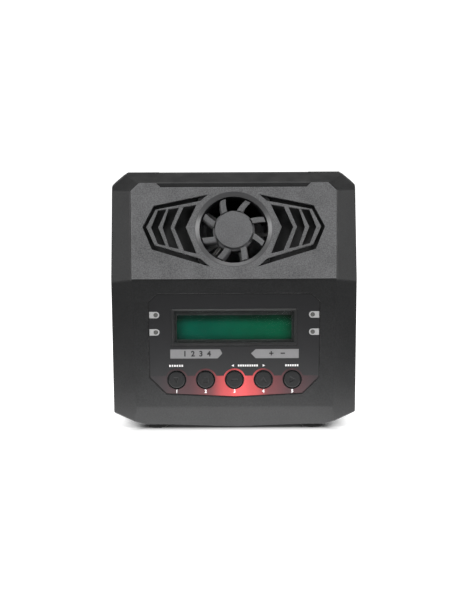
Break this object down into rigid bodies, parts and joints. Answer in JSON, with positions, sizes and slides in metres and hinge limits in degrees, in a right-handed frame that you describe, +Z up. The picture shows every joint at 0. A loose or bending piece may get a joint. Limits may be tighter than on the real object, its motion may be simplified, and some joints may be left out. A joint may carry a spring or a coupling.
{
  "type": "balance battery charger",
  "caption": "Upright bench charger for model battery packs, with a text display, press buttons, a fan behind a winged vent panel and side sockets.",
  "frame": {"origin": "on the floor, under the middle of the case's bounding box", "axes": "+Z up, -Y out of the display towards the user, +X to the user's right"},
  "size_m": [0.1402, 0.0666, 0.1419],
  "materials": {
    "case_plastic": "fine moulded texture, dark grey",
    "panel_plastic": "satin, mid grey",
    "label_film": "printed film, satin",
    "button_plastic": "satin grey caps",
    "foot_rubber": "soft black rubber",
    "screw_steel": "zinc plated steel",
    "window_clear": "clear plastic window",
    "bezel_black": "black painted sheet",
    "display_green": "green liquid crystal glass",
    "backlight_white": "milky light guide",
    "board_green": "green circuit board",
    "switch_black": "black moulded switch bodies",
    "plunger_plastic": "black nylon",
    "led_resin": "clear diffused resin",
    "fan_plastic": "black fan frame",
    "rotor_plastic": "grey hub and blades",
    "magnet_ferrite": "moulded ferrite ring",
    "polished_steel": "ground steel",
    "bearing_bronze": "sintered bronze",
    "wire_insulation": "insulated wire",
    "socket_ivory": "off-white nylon",
    "socket_amber": "amber nylon",
    "inlet_black": "black moulded inlet",
    "contact_gold": "gold plated brass",
    "pin_nickel": "nickel plated brass",
    "copper_winding": "enamelled copper",
    "capacitor_sleeve": "printed sleeve, dark blue",
    "fuse_ceramic": "ceramic fuse body",
    "sink_aluminium": "extruded aluminium",
    "chip_epoxy": "black epoxy"
  },
  "bodies": {
    "charger": {"front_case": "case_plastic", "rear_case": "case_plastic", "vent_panel": "panel_plastic", "front_label": "label_film", "base_feet": "foot_rubber", "case_screws": "screw_steel", "board_screws": "screw_steel", "fan_screws": "screw_steel", "board_standoffs": "screw_steel", "lcd_window": "window_clear", "lcd_bezel": "bezel_black", "lcd_glass": "display_green", "lcd_backlight": "backlight_white", "lcd_board": "board_green", "control_board": "board_green", "supply_board": "board_green", "main_board": "board_green", "fan_board": "board_green", "tact_switches": "switch_black", "buzzer": "switch_black", "status_leds": "led_resin", "fan_frame": "fan_plastic", "transformer_core": "magnet_ferrite", "fan_stator": "polished_steel", "fan_bearing": "bearing_bronze", "fan_wires": "wire_insulation", "balance_socket_1": "socket_ivory", "balance_socket_2": "socket_ivory", "balance_socket_3": "socket_ivory", "balance_socket_4": "socket_ivory", "fan_connector": "socket_ivory", "output_socket_1": "socket_amber", "output_socket_2": "socket_amber", "output_socket_3": "socket_amber", "output_socket_4": "socket_amber", "dc_socket": "socket_amber", "mains_inlet": "inlet_black", "balance_pins": "contact_gold", "output_contacts": "contact_gold", "inlet_pins": "pin_nickel", "transformer_winding": "copper_winding", "inductors": "copper_winding", "bulk_capacitors": "capacitor_sleeve", "output_capacitors": "capacitor_sleeve", "mains_fuse": "fuse_ceramic", "heatsink": "sink_aluminium", "power_transistors": "chip_epoxy"},
    "rotor": {"fan_rotor": "rotor_plastic", "fan_magnet": "magnet_ferrite", "fan_shaft": "polished_steel"},
    "key_select": {"button_select": "button_plastic", "plunger_select": "plunger_plastic"},
    "key_stop": {"button_stop": "button_plastic", "plunger_stop": "plunger_plastic"},
    "key_lower": {"button_lower": "button_plastic", "plunger_lower": "plunger_plastic"},
    "key_raise": {"button_raise": "button_plastic", "plunger_raise": "plunger_plastic"},
    "key_start": {"button_start": "button_plastic", "plunger_start": "plunger_plastic"}
  },
  "joints": [
    {"name": "fan_spin", "type": "hinge", "parent": "charger", "child": "rotor", "pos_m": [0, -0.02157, 0.11194], "axis": [0, -0.9272, 0.3746], "continuous": true},
    {"name": "select_press", "type": "slide", "parent": "charger", "child": "key_select", "axis": [0, 1, 0], "range_m": [0, 0.0005], "stiffness_N_per_m": 150},
    {"name": "stop_press", "type": "slide", "parent": "charger", "child": "key_stop", "axis": [0, 1, 0], "range_m": [0, 0.0005], "stiffness_N_per_m": 150},
    {"name": "lower_press", "type": "slide", "parent": "charger", "child": "key_lower", "axis": [0, 1, 0], "range_m": [0, 0.0005], "stiffness_N_per_m": 150},
    {"name": "raise_press", "type": "slide", "parent": "charger", "child": "key_raise", "axis": [0, 1, 0], "range_m": [0, 0.0005], "stiffness_N_per_m": 150},
    {"name": "start_press", "type": "slide", "parent": "charger", "child": "key_start", "axis": [0, 1, 0], "range_m": [0, 0.0005], "stiffness_N_per_m": 150}
  ]
}
